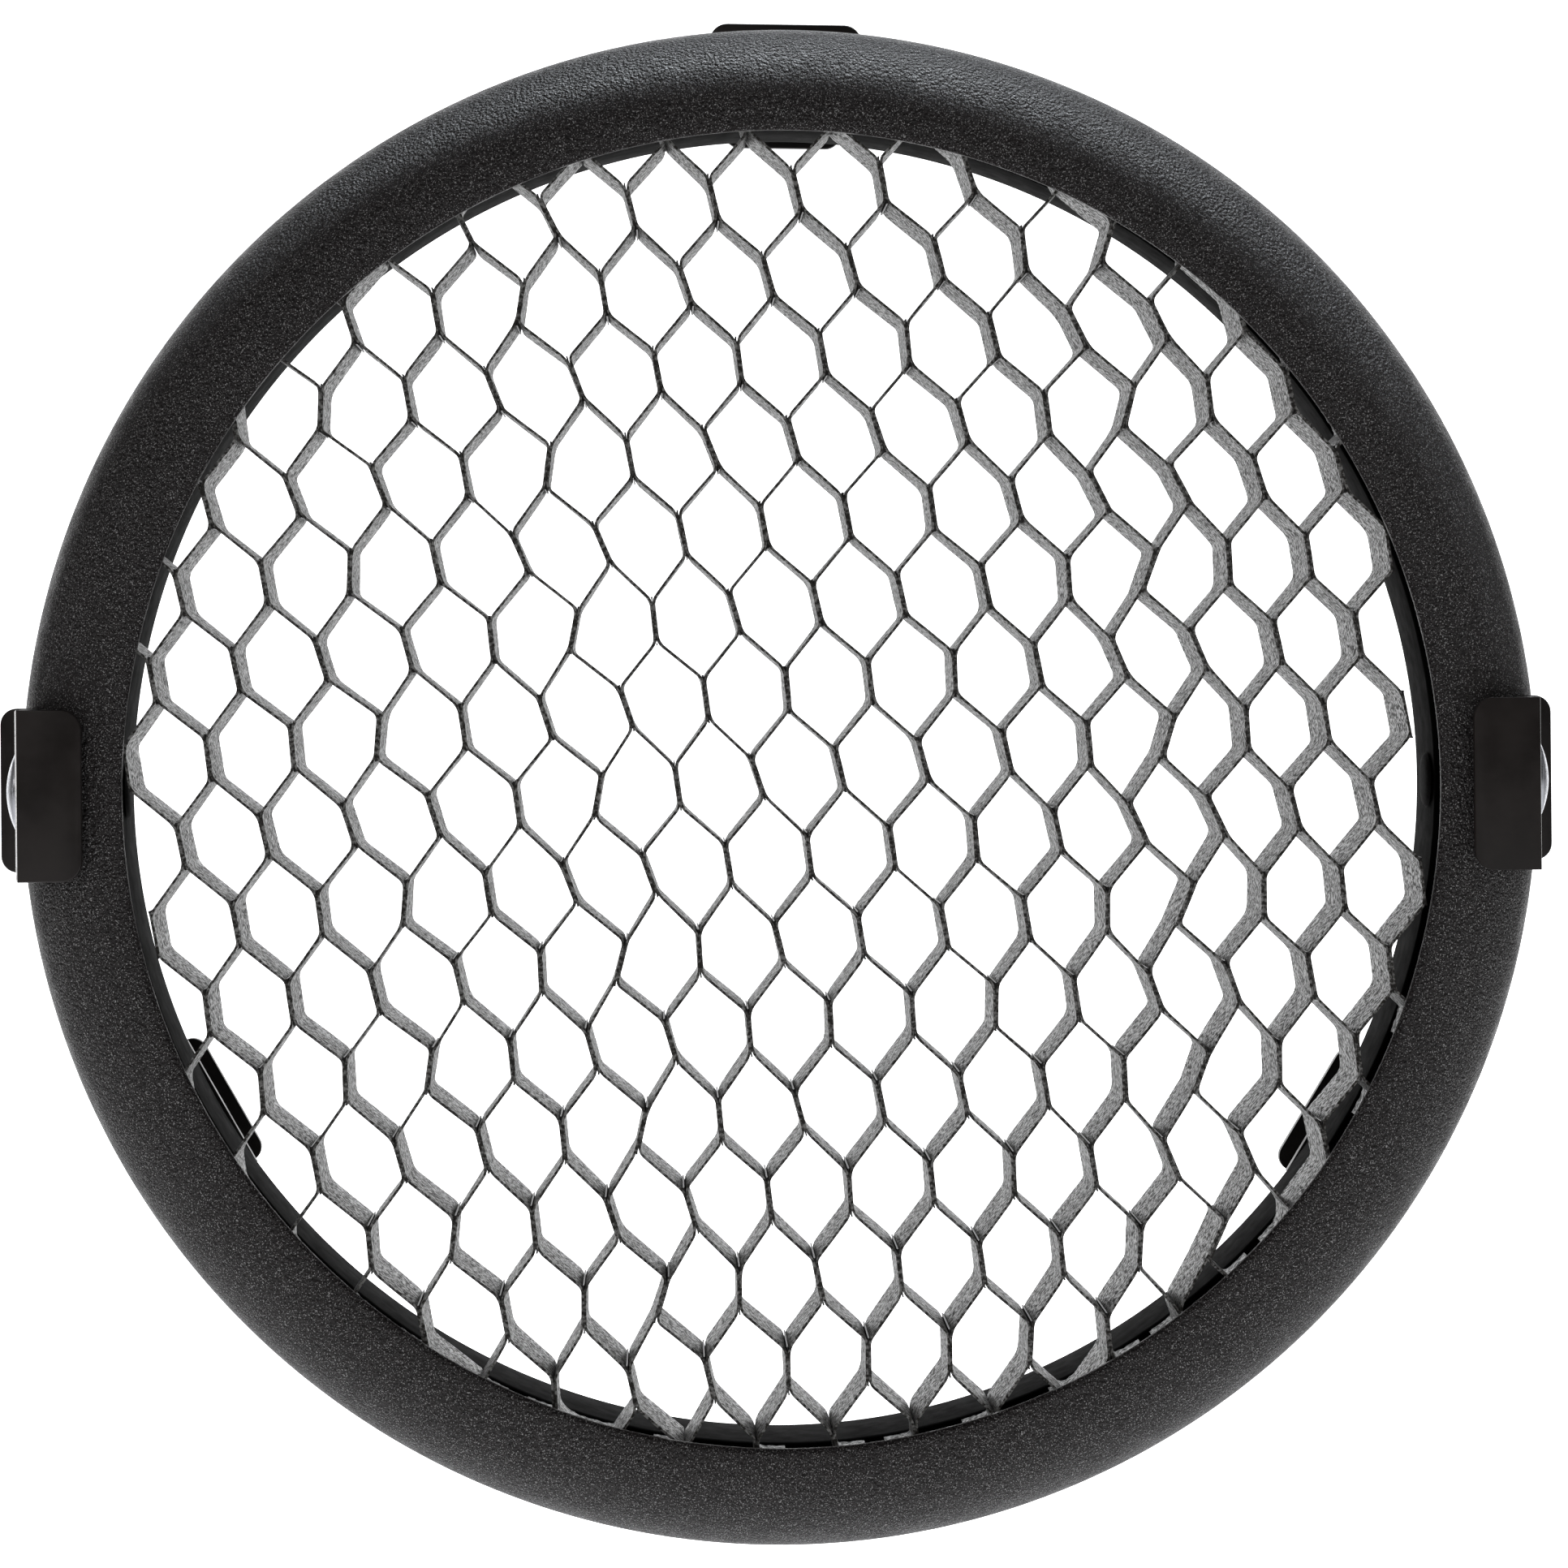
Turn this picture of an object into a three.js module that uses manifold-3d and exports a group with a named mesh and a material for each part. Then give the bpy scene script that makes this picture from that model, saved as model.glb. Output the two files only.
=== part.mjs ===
// Round honeycomb grid for a studio reflector, in millimetres.
// +Z is up, the beam leaves along -Y, and Y = 0 is the rear face that seats on the reflector's rim.

import * as THREE from 'three';
import { mergeVertices } from 'three/addons/utils/BufferGeometryUtils.js';
import Module from 'manifold-3d';

const wasm = await Module();
wasm.setup();

// ---------- driving dimensions ----------

const GAP = 0.3; // air between pieces that rest on each other
const RING_DEPTH = 27; // front of the bezel to the rear face
const RING_SEGMENTS = 72;
const PIN_SEGMENTS = 24;
const SMALL_PIN_SEGMENTS = 16;
const CORNER_SEGMENTS = 4;
const THROUGH = 1; // how far a cutting tool passes its far face
const FRONT_Y = -RING_DEPTH;

// bezel: a spun shell with a lip over the core, a rounded front and a straight skirt
const BEZEL_R = 85.7;
const LIP_R = 73.2;
const SKIN = 1.6;
const BULLNOSE = SKIN / 2;
const FRONT_ROUND_DEPTH = 10.7;
const SKIRT_EDGE = 0.8;
const DRUM_CLEARANCE = 0.5; // flat behind the lip, outside the drum's front edge

// drum: the smooth inner ring that carries everything
const DRUM_BORE_R = 75;
const POCKET_R = 75.9;
const DRUM_OUTER_R = 77;
const FLANGE_T = 1.3;
const FLANGE_R = BEZEL_R - SKIN - GAP;
const DRUM_FRONT_Y = FRONT_Y + SKIN + GAP;

// core: expanded foil honeycomb, half an inch deep
const CORE_DEPTH = 12.7;
const CORE_FRONT_Y = DRUM_FRONT_Y;
const CORE_REAR_Y = CORE_FRONT_Y + CORE_DEPTH;
const CORE_R = 75.3;
const FOIL_T = 0.24;
const GLUE_T = 0.06;
const LEDGE_Y = CORE_REAR_Y + GAP;

// the lattice of bonds between foils, set a little askew in the ring
const COLUMN_PITCH = 4.58;
const ROW_PITCH = 9.35;
const ROW_CLIMB = 5.7; // degrees by which a row of bonds climbs to the right
const COLUMN_SLANT = 7.1; // degrees by which a column of bonds slants up to the left
const LATTICE_X = 2; // the bond nearest to the centre
const LATTICE_Z = 1.46;
const COLUMNS = 21; // on each side of the centre
const ROWS = 9;
const BOND_LENGTH = 4.85;

// how the bonds drifted when the block was pulled open: a bulge, a twist and a slow sideways wave
const BULGE = 0.3;
const BULGE_R = 42;
const TWIST = 0.0005; // per mm
const WAVE = 0.3;
const WAVE_CREST_X = 32;
const WAVE_LENGTH = 63;

// how the bonds lean from upright, in degrees, clockwise from the front
const BOND_LEAN = -9.5;
const ROW_LEAN = -0.7; // more on each row upwards
const RIPPLE_LEAN = -2.2; // on every fourth row
const RIPPLE_ROW = 3.5;
const RIPPLE_ROWS = 4;
// the creased columns, and the turn of their bonds; each column beside one turns half as far back
const CREASES = [[-10, 15], [-5, 22], [-1, -8], [4, 7], [9, 29]];
const CREASE_SPREAD = -0.5;

// side clips at 3 and 9 o'clock
const CLIP_W = 19.1;
const CLIP_T = 1.1;
const CLIP_OUTER_R = 84.4;
const CLIP_INNER_R = CLIP_OUTER_R - CLIP_T;
const JAW_R = 77.1;
const JAW_CORNER = 2.2;
const JAW_FRONT_Y = FRONT_Y - GAP - CLIP_T;
const TAB_R = 90.2;
const TAB_CORNER = 1.9;
const TAB_Y = -1.9;
const NOTCH_FRONT_Y = -23.6;
const NOTCH_FLOOR_R = 82;
const NOTCH_GAP = 0.2; // beside the clip

// domed rivet, and the bush that holds the clip off the drum
const RIVET_Y = -8.4;
const RIVET_SHANK_R = 2.3;
const RIVET_HEAD_R = 4.9;
const RIVET_TOP_R = 88.6;
const RIVET_DOME_R = 10.2;
const RIVET_TAIL_R = 3.2;
const RIVET_TAIL_T = 0.5;
const ROCK_ROOM = 0.75; // lets the clip rock between bush and rivet head
const CLIP_HOLE_R = 3.4;
const BUSH_R = 4.5;
const RIVET_HOLE_R = RIVET_SHANK_R + GAP;

// hooks and sliding catch behind the rear flange, about a third of a turn apart
const CATCH_ANGLE = 88.7; // degrees
const HOOK_ANGLES = [209.4, 328.6];
const STRAP_T = 1.2;
const HOOK_W = 16.4;
const HOOK_ARM_R = 78.9;
const HOOK_FOOT_R = 84;
const HOOK_FOOT_INNER_R = 74.7;
const HOOK_NOSE_R = 74.2;
const HOOK_REACH = 9.5;
const HOOK_CORNER = 1.8;
const CATCH_W = 17.8;
const CATCH_CORNER = 2.1;
const CATCH_ARM_W = 13.8;
const CATCH_TAB_R = 88.9;
const CATCH_NOSE_R = 75.3;

// guide rails beside the sliding catch, and the small rivets
const RAIL_T = 1.1;
const RAIL_FROM_R = 79.4;
const RAIL_TO_R = 83.6;
const RAIL_LIP_X = 7.4;
const RAIL_SIDE_X = CATCH_W / 2 + 0.4;
const RAIL_FOOT_X = 14.6;
const SMALL_RIVET_R = 82.1;
const SMALL_SHANK_R = 1;
const SMALL_HEAD_R = 1.7;
const SMALL_HEAD_T = 0.9;
const SMALL_TAIL_R = 1.4;
const SMALL_TAIL_T = 0.6;
const HOOK_RIVET_X = 4.8;
const RAIL_RIVET_X = 12.6;

// ---------- finishes ----------

const finish = (color, roughness, metalness) =>
  () => new THREE.MeshStandardMaterial({ color, roughness, metalness });

const crinklePaint = finish(0x26262a, 0.72, 0.1);
const satinBlack = finish(0x17171a, 0.42, 0.3);
const foilPaint = finish(0x3b3a38, 0.6, 0.4);
const springBlack = finish(0x1b1a1b, 0.35, 0.5);
const brightSteel = finish(0xb9bcc2, 0.22, 1);
const darkSteel = finish(0x3a3b3e, 0.4, 0.8);

// ---------- helpers ----------

const radians = THREE.MathUtils.degToRad;

function toSolid(geometry) {
  const bare = geometry.clone();
  bare.deleteAttribute('normal');
  bare.deleteAttribute('uv');
  const merged = mergeVertices(bare, 1e-4);
  return new wasm.Manifold(new wasm.Mesh({
    numProp: 3,
    vertProperties: Float32Array.from(merged.attributes.position.array),
    triVerts: Uint32Array.from(merged.index.array),
  }));
}

function toGeometry(solid) {
  const mesh = solid.getMesh();
  const geometry = new THREE.BufferGeometry();
  geometry.setAttribute('position', new THREE.BufferAttribute(mesh.vertProperties, 3));
  geometry.setIndex(new THREE.BufferAttribute(mesh.triVerts, 1));
  geometry.computeVertexNormals();
  return geometry;
}

const joined = (...parts) => toGeometry(parts.map(toSolid).reduce((sum, part) => sum.add(part)));
const cut = (body, ...tools) => toGeometry(tools.map(toSolid)
  .reduce((rest, tool) => rest.subtract(tool), toSolid(body)));

function part(name, geometry, material) {
  const mesh = new THREE.Mesh(geometry, material());
  mesh.name = name;
  return mesh;
}

// a group whose local +Z points outwards at the given clock angle, counter-clockwise from +X
function station(degrees, ...parts) {
  const group = new THREE.Group();
  group.rotation.y = radians(90 - degrees);
  group.add(...parts);
  return group;
}

// the same turn, for a tool that cuts a ring
const turned = (geometry, degrees) => geometry.rotateY(radians(90 - degrees));

function box(x0, x1, y0, y1, z0, z1) {
  return new THREE.BoxGeometry(x1 - x0, y1 - y0, z1 - z0)
    .translate((x0 + x1) / 2, (y0 + y1) / 2, (z0 + z1) / 2);
}

// a cylinder along the radial direction, for holes
const radialPin = (radius, z0, z1, y) => (
  new THREE.CylinderGeometry(radius, radius, z1 - z0, PIN_SEGMENTS)
    .rotateX(Math.PI / 2).translate(0, y, (z0 + z1) / 2));

// a cylinder along the axis of the ring, for rivet holes
const axialPin = (radius, y0, y1, x, z) => (
  new THREE.CylinderGeometry(radius, radius, y1 - y0, SMALL_PIN_SEGMENTS).translate(x, (y0 + y1) / 2, z));

const extruded = (shape, depth) => new THREE.ExtrudeGeometry(
  shape,
  { depth, bevelEnabled: false, curveSegments: CORNER_SEGMENTS },
);

// a plate across the ring's axis: its edge at zEnd has rounded corners, its edge at zBase is square
function tonguePlate(width, zBase, zEnd, corner, y0, thickness) {
  const half = width / 2;
  const outwards = Math.sign(zEnd - zBase);
  const shape = new THREE.Shape();
  shape.moveTo(-half, 0);
  shape.lineTo(half, 0);
  const length = Math.abs(zEnd - zBase);
  shape.lineTo(half, length - corner);
  shape.absarc(half - corner, length - corner, corner, 0, Math.PI / 2);
  shape.absarc(corner - half, length - corner, corner, Math.PI / 2, Math.PI);
  shape.closePath();
  const plate = extruded(shape, thickness);
  plate.rotateX(Math.PI / 2).translate(0, thickness, 0);
  if (outwards < 0) plate.rotateY(Math.PI);
  return plate.translate(0, y0, zBase);
}

const point = (r, y) => new THREE.Vector2(r, y);

function arc(centreR, centreY, radiusR, radiusY, fromDegrees, toDegrees, steps) {
  const points = [];
  for (let i = 0; i <= steps; i++) {
    const angle = radians(fromDegrees + (toDegrees - fromDegrees) * i / steps);
    points.push(point(centreR + radiusR * Math.cos(angle), centreY + radiusY * Math.sin(angle)));
  }
  return points;
}

// a ring about the Y axis from a closed profile of (radius, y) points, listed with y rising outside
function ring(profile, segments = RING_SEGMENTS) {
  return new THREE.LatheGeometry([...profile, profile[0].clone()], segments);
}

// ---------- bezel and drum ----------

function bezelGeometry() {
  const centreR = LIP_R + BULLNOSE;
  const centreY = FRONT_Y + FRONT_ROUND_DEPTH;
  const reach = BEZEL_R - centreR;
  const bullnose = arc(centreR, FRONT_Y + BULLNOSE, BULLNOSE, BULLNOSE, 90, 270, 3);
  const front = arc(centreR, centreY, reach, FRONT_ROUND_DEPTH, -90, 0, 7).slice(1);
  const hollowR = DRUM_OUTER_R + DRUM_CLEARANCE;
  const inside = arc(hollowR, centreY, BEZEL_R - SKIN - hollowR, FRONT_ROUND_DEPTH - SKIN, 0, -90, 3);
  const shell = ring([
    ...bullnose,
    ...front,
    point(BEZEL_R, -SKIRT_EDGE),
    point(BEZEL_R - SKIRT_EDGE, 0),
    point(BEZEL_R - SKIN, 0),
    ...inside,
  ]);
  const notches = [0, 180].map((angle) => {
    const half = CLIP_W / 2 + NOTCH_GAP;
    return turned(box(-half, half, NOTCH_FRONT_Y, THROUGH, NOTCH_FLOOR_R, BEZEL_R + THROUGH), angle);
  });
  return cut(shell, ...notches);
}

// height, in its station, of a small rivet on the flange's rivet circle
const onRivetCircle = (x) => Math.sqrt(SMALL_RIVET_R ** 2 - x ** 2);

// the hole of that rivet through the flange and a plate whose rear face is at rearY
function rivetHole(x, rearY) {
  return axialPin(SMALL_SHANK_R + GAP, -FLANGE_T - THROUGH, rearY + THROUGH, x, onRivetCircle(x));
}

function drumGeometry() {
  const drum = ring([
    point(POCKET_R, DRUM_FRONT_Y),
    point(DRUM_OUTER_R, DRUM_FRONT_Y),
    point(DRUM_OUTER_R, -FLANGE_T),
    point(FLANGE_R, -FLANGE_T),
    point(FLANGE_R, 0),
    point(DRUM_BORE_R, 0),
    point(DRUM_BORE_R, LEDGE_Y),
    point(POCKET_R, LEDGE_Y),
  ]);
  const holes = [0, 180].map((angle) => (
    turned(radialPin(RIVET_HOLE_R, DRUM_BORE_R - THROUGH, DRUM_OUTER_R + THROUGH, RIVET_Y), angle)));
  for (const side of [-1, 1]) {
    for (const angle of HOOK_ANGLES) holes.push(turned(rivetHole(side * HOOK_RIVET_X, 0), angle));
    holes.push(turned(rivetHole(side * RAIL_RIVET_X, 0), CATCH_ANGLE));
  }
  return cut(drum, ...holes);
}

// ---------- honeycomb core ----------

function drift(x, z) {
  const bulge = BULGE * (1 - (x * x + z * z) / BULGE_R ** 2);
  const wave = WAVE * Math.cos(2 * Math.PI * (x - WAVE_CREST_X) / WAVE_LENGTH);
  return { dx: bulge + TWIST * x * z + wave, dz: bulge };
}

function lean(column, row) {
  const ripple = RIPPLE_LEAN * Math.cos(2 * Math.PI * (row - RIPPLE_ROW) / RIPPLE_ROWS);
  const turns = CREASES.map(([crease, turn]) => turn * CREASE_SPREAD ** Math.abs(column - crease));
  return turns.reduce((sum, turn) => sum + turn, BOND_LEAN + ROW_LEAN * row + ripple);
}

// both ends of the bond at a lattice place, and the direction across it
function bond(column, row) {
  const climb = radians(ROW_CLIMB);
  const slant = radians(COLUMN_SLANT);
  const x = LATTICE_X + COLUMN_PITCH * column * Math.cos(climb) - ROW_PITCH * row * Math.sin(slant);
  const z = LATTICE_Z + COLUMN_PITCH * column * Math.sin(climb) + ROW_PITCH * row * Math.cos(slant);
  const { dx, dz } = drift(x, z);
  const angle = radians(lean(column, row));
  const along = new THREE.Vector2(Math.sin(angle), Math.cos(angle));
  const middle = new THREE.Vector2(x + dx, z + dz);
  return {
    top: middle.clone().addScaledVector(along, BOND_LENGTH / 2),
    bottom: middle.clone().addScaledVector(along, -BOND_LENGTH / 2),
    across: new THREE.Vector2(along.y, -along.x),
  };
}

// the centre line of one foil ribbon, from top to bottom, bonded to its two neighbours in turn
function ribbonPath(column) {
  const path = [];
  for (let row = ROWS; row >= -ROWS; row--) {
    const onLeft = Math.abs(column + row) % 2 === 1;
    const { top, bottom, across } = bond(onLeft ? column : column + 1, row);
    const offset = (onLeft ? 1 : -1) * (FOIL_T + GLUE_T) / 2;
    path.push(top.addScaledVector(across, offset), bottom.addScaledVector(across, offset));
  }
  return path;
}

// where the line from a, inside the circle, to b, outside it, crosses it
function crossing(a, b, radius) {
  const step = b.clone().sub(a);
  const half = a.dot(step) / step.lengthSq();
  const rest = (a.lengthSq() - radius * radius) / step.lengthSq();
  return a.clone().addScaledVector(step, Math.sqrt(half * half - rest) - half);
}

// the longest unbroken run of the path inside the circle
function trimmed(path, radius) {
  let best = [];
  let run = [];
  for (let i = 0; i < path.length; i++) {
    const inside = path[i].length() < radius;
    const before = path[i - 1];
    if (inside && run.length === 0 && before) run.push(crossing(path[i], before, radius));
    if (inside) run.push(path[i]);
    if (!inside && run.length > 0) run.push(crossing(before, path[i], radius));
    if (run.length > best.length) best = run;
    if (!inside) run = [];
  }
  return best;
}

// the path moved sideways, with mitred corners
function offsetPath(path, distance) {
  return path.map((here, i) => {
    const normals = [[i - 1, i], [i, i + 1]]
      .filter(([a, b]) => a >= 0 && b < path.length)
      .map(([a, b]) => path[b].clone().sub(path[a]).normalize())
      .map((along) => new THREE.Vector2(-along.y, along.x));
    const mitre = normals.reduce((sum, n) => sum.clone().add(n)).normalize();
    return here.clone().addScaledVector(mitre, distance / mitre.dot(normals[0]));
  });
}

function ribbonGeometry(path) {
  const outline = [...offsetPath(path, FOIL_T / 2), ...offsetPath(path, -FOIL_T / 2).reverse()];
  const ribbon = extruded(new THREE.Shape(outline), CORE_DEPTH);
  return ribbon.rotateX(Math.PI / 2).translate(0, CORE_REAR_Y, 0);
}

function coreRibbons() {
  const shortest = 6; // points; a shorter scrap at the rim is left out
  const ribbons = [];
  for (let column = -COLUMNS; column < COLUMNS; column++) {
    const path = trimmed(ribbonPath(column), CORE_R);
    if (path.length < shortest) continue;
    const number = String(ribbons.length + 1).padStart(2, '0');
    ribbons.push(part(`core_foil_${number}`, ribbonGeometry(path), foilPaint));
  }
  return ribbons;
}

// ---------- side clips ----------

function clipGeometry() {
  const half = CLIP_W / 2;
  const web = cut(
    box(-half, half, JAW_FRONT_Y, TAB_Y, CLIP_INNER_R, CLIP_OUTER_R),
    radialPin(CLIP_HOLE_R, CLIP_INNER_R - THROUGH, CLIP_OUTER_R + THROUGH, RIVET_Y),
  );
  return joined(
    web,
    tonguePlate(CLIP_W, CLIP_OUTER_R, JAW_R, JAW_CORNER, JAW_FRONT_Y, CLIP_T),
    tonguePlate(CLIP_W, CLIP_INNER_R, TAB_R, TAB_CORNER, TAB_Y - CLIP_T, CLIP_T),
  );
}

function clipRivetGeometry() {
  const tailTop = DRUM_BORE_R - GAP;
  const headBase = CLIP_OUTER_R + ROCK_ROOM;
  const domeEdge = Math.asin(RIVET_HEAD_R / RIVET_DOME_R);
  const dome = arc(0, RIVET_TOP_R - RIVET_DOME_R, RIVET_DOME_R, RIVET_DOME_R,
    90 - THREE.MathUtils.radToDeg(domeEdge), 90, 4);
  dome[dome.length - 1].x = 0;
  return new THREE.LatheGeometry([
    point(0, tailTop - RIVET_TAIL_T),
    point(RIVET_TAIL_R - RIVET_TAIL_T / 2, tailTop - RIVET_TAIL_T),
    point(RIVET_TAIL_R, tailTop),
    point(RIVET_SHANK_R, tailTop),
    point(RIVET_SHANK_R, headBase),
    point(RIVET_HEAD_R, headBase),
    ...dome,
  ], PIN_SEGMENTS).rotateX(Math.PI / 2);
}

function clipBushGeometry() {
  const from = DRUM_OUTER_R + GAP;
  const to = CLIP_INNER_R - ROCK_ROOM;
  return ring([
    point(RIVET_HOLE_R, from),
    point(BUSH_R, from),
    point(BUSH_R, to),
    point(RIVET_HOLE_R, to),
  ], PIN_SEGMENTS).rotateX(Math.PI / 2);
}

function sideClip(side, degrees) {
  return station(
    degrees,
    part(`clip_${side}`, clipGeometry(), springBlack),
    part(`clip_rivet_${side}`, clipRivetGeometry().translate(0, RIVET_Y, 0), brightSteel),
    part(`clip_bush_${side}`, clipBushGeometry().translate(0, RIVET_Y, 0), darkSteel),
  );
}

// ---------- hooks and sliding catch ----------

// a small rivet along Y through the flange and a strap whose outer face is at headY
function smallRivetGeometry(headY, x) {
  const tailY = -FLANGE_T - GAP;
  return new THREE.LatheGeometry([
    point(0, tailY - SMALL_TAIL_T),
    point(SMALL_TAIL_R, tailY - SMALL_TAIL_T),
    point(SMALL_TAIL_R, tailY),
    point(SMALL_SHANK_R, tailY),
    point(SMALL_SHANK_R, headY),
    point(SMALL_HEAD_R, headY),
    ...arc(0, headY, SMALL_HEAD_R, SMALL_HEAD_T, 30, 90, 2).slice(0, -1),
    point(0, headY + SMALL_HEAD_T),
  ], SMALL_PIN_SEGMENTS).translate(x, 0, onRivetCircle(x));
}

function hookGeometry() {
  const half = HOOK_W / 2;
  const foot = cut(
    box(-half, half, GAP, GAP + STRAP_T, HOOK_FOOT_INNER_R, HOOK_FOOT_R),
    rivetHole(-HOOK_RIVET_X, GAP + STRAP_T),
    rivetHole(HOOK_RIVET_X, GAP + STRAP_T),
  );
  return joined(
    foot,
    box(-half, half, GAP, HOOK_REACH, HOOK_ARM_R, HOOK_ARM_R + STRAP_T),
    tonguePlate(HOOK_W, HOOK_ARM_R + STRAP_T, HOOK_NOSE_R, HOOK_CORNER, HOOK_REACH - STRAP_T, STRAP_T),
  );
}

function hook(side, degrees) {
  const headY = GAP + STRAP_T + GAP;
  return station(
    degrees,
    part(`hook_${side}`, hookGeometry(), springBlack),
    part(`hook_rivet_${side}_a`, smallRivetGeometry(headY, -HOOK_RIVET_X), darkSteel),
    part(`hook_rivet_${side}_b`, smallRivetGeometry(headY, HOOK_RIVET_X), darkSteel),
  );
}

function catchGeometry() {
  const half = CATCH_ARM_W / 2;
  return joined(
    tonguePlate(CATCH_W, HOOK_ARM_R, CATCH_TAB_R, CATCH_CORNER, GAP, STRAP_T),
    box(-half, half, GAP, HOOK_REACH, HOOK_ARM_R, HOOK_ARM_R + STRAP_T),
    tonguePlate(
      CATCH_ARM_W, HOOK_ARM_R + STRAP_T, CATCH_NOSE_R, HOOK_CORNER, HOOK_REACH - STRAP_T, STRAP_T),
  );
}

// a Z-section rail on the flange, whose lip laps over the edge of the sliding catch
function railGeometry(side) {
  const lipY = GAP + STRAP_T + GAP;
  const outline = [
    [RAIL_FOOT_X, GAP],
    [RAIL_FOOT_X, GAP + RAIL_T],
    [RAIL_SIDE_X + RAIL_T, GAP + RAIL_T],
    [RAIL_SIDE_X + RAIL_T, lipY + RAIL_T],
    [RAIL_LIP_X, lipY + RAIL_T],
    [RAIL_LIP_X, lipY],
    [RAIL_SIDE_X, lipY],
    [RAIL_SIDE_X, GAP],
  ].map(([x, y]) => new THREE.Vector2(side * x, y));
  const rail = extruded(new THREE.Shape(outline), RAIL_TO_R - RAIL_FROM_R);
  return cut(rail.translate(0, 0, RAIL_FROM_R), rivetHole(side * RAIL_RIVET_X, GAP + RAIL_T));
}

function slidingCatch(degrees) {
  const headY = GAP + RAIL_T + GAP;
  return station(
    degrees,
    part('catch_slide', catchGeometry(), springBlack),
    ...[['left', -1], ['right', 1]].flatMap(([name, side]) => [
      part(`catch_rail_${name}`, railGeometry(side), springBlack),
      part(`catch_rivet_${name}`, smallRivetGeometry(headY, side * RAIL_RIVET_X), darkSteel),
    ]),
  );
}

// ---------- assembly ----------

const grid = new THREE.Group();
grid.add(
  part('bezel', bezelGeometry(), crinklePaint),
  part('drum', drumGeometry(), satinBlack),
  ...coreRibbons(),
  sideClip('right', 0),
  sideClip('left', 180),
  hook('left', HOOK_ANGLES[0]),
  hook('right', HOOK_ANGLES[1]),
  slidingCatch(CATCH_ANGLE),
);

export default grid;
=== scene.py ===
"""A round honeycomb grid for a studio reflector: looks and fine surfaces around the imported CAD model."""

import math

import bmesh
import bpy
from mathutils import Matrix, Vector


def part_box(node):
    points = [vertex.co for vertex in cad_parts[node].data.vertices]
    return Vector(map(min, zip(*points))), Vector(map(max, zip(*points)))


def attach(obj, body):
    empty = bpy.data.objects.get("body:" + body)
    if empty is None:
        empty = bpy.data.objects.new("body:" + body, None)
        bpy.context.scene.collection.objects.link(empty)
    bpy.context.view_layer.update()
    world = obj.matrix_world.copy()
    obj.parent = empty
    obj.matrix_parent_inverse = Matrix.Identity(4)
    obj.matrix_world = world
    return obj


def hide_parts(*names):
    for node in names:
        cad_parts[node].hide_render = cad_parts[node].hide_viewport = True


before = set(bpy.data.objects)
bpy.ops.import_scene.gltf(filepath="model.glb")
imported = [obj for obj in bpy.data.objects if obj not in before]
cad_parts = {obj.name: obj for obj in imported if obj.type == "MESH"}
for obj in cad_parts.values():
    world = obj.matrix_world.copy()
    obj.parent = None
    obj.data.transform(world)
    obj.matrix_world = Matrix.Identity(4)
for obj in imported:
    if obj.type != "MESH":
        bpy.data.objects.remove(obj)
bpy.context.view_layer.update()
MM = 0.001

# ---------- sizes, in metres ----------

BEZEL_LOW, BEZEL_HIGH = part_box("bezel")
DRUM_LOW, DRUM_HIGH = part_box("drum")
CORE_LOW, CORE_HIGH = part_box("core_foil_16")
CLIP_LOW, CLIP_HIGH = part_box("clip_right")
RIVET_LOW, RIVET_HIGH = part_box("clip_rivet_right")
BUSH_LOW, BUSH_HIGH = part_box("clip_bush_right")

BEZEL_R = BEZEL_HIGH.z
FRONT_Y = BEZEL_LOW.y
SKIN = 1.6 * MM
LIP_R = 73.2 * MM
LIP_HIGHLIGHT_REACH = 0.05 * MM  # how far the painted highlight on the lip's inner edge reaches outwards
FRONT_ROUND_DEPTH = 10.7 * MM
HOLLOW_R = 77.5 * MM  # where the bezel's inside starts to curve back
SKIRT_START = 2 * MM  # behind the end of the front round
SKIRT_ROUND = 0.56 * MM
NOTCH_FRONT_Y = -23.6 * MM
NOTCH_FLOOR_R = 82.0 * MM
NOTCH_GAP = 0.08 * MM  # beside the clip
OVERCUT = 1 * MM

DRUM_BORE_R = 75.0 * MM
POCKET_R = 75.9 * MM
POCKET_DEPTH = 13 * MM
DRUM_OUTER_R = 77.0 * MM
DRUM_ROUND = 0.35 * MM
FLANGE_T = 1.3 * MM
RING_SEGMENTS = 288
BEAD_STEPS, ROUND_STEPS, HOLLOW_STEPS = 14, 40, 12

CLIP_WEB_R = 84.4 * MM
JAW_LEAN = -0.4 * MM
CLIP_BEVEL = 0.2 * MM
HOOK_BEVEL = 0.25 * MM
SMALL_RIVET_BEVEL = 0.12 * MM

SHANK_R = 2.3 * MM
TAIL_R, TAIL_T = 3.2 * MM, 0.5 * MM
TAIL_CROWN = ((0.6, 0.05 * MM), (0.9, 0.2 * MM))  # share of the tail's radius, height
HEAD_LIFT = 0.75 * MM  # of the head's underside from the clip's web
HEAD_FOOT_BEVEL, HEAD_RIM_BEVEL = 0.2 * MM, 0.25 * MM
DOME_R = 10.2 * MM
DOME_STEPS = 16
RIVET_SEGMENTS = 96
BUSH_BORE_R = 2.6 * MM
BUSH_ROUND = 0.3 * MM
BUSH_SEGMENTS = 64

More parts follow.
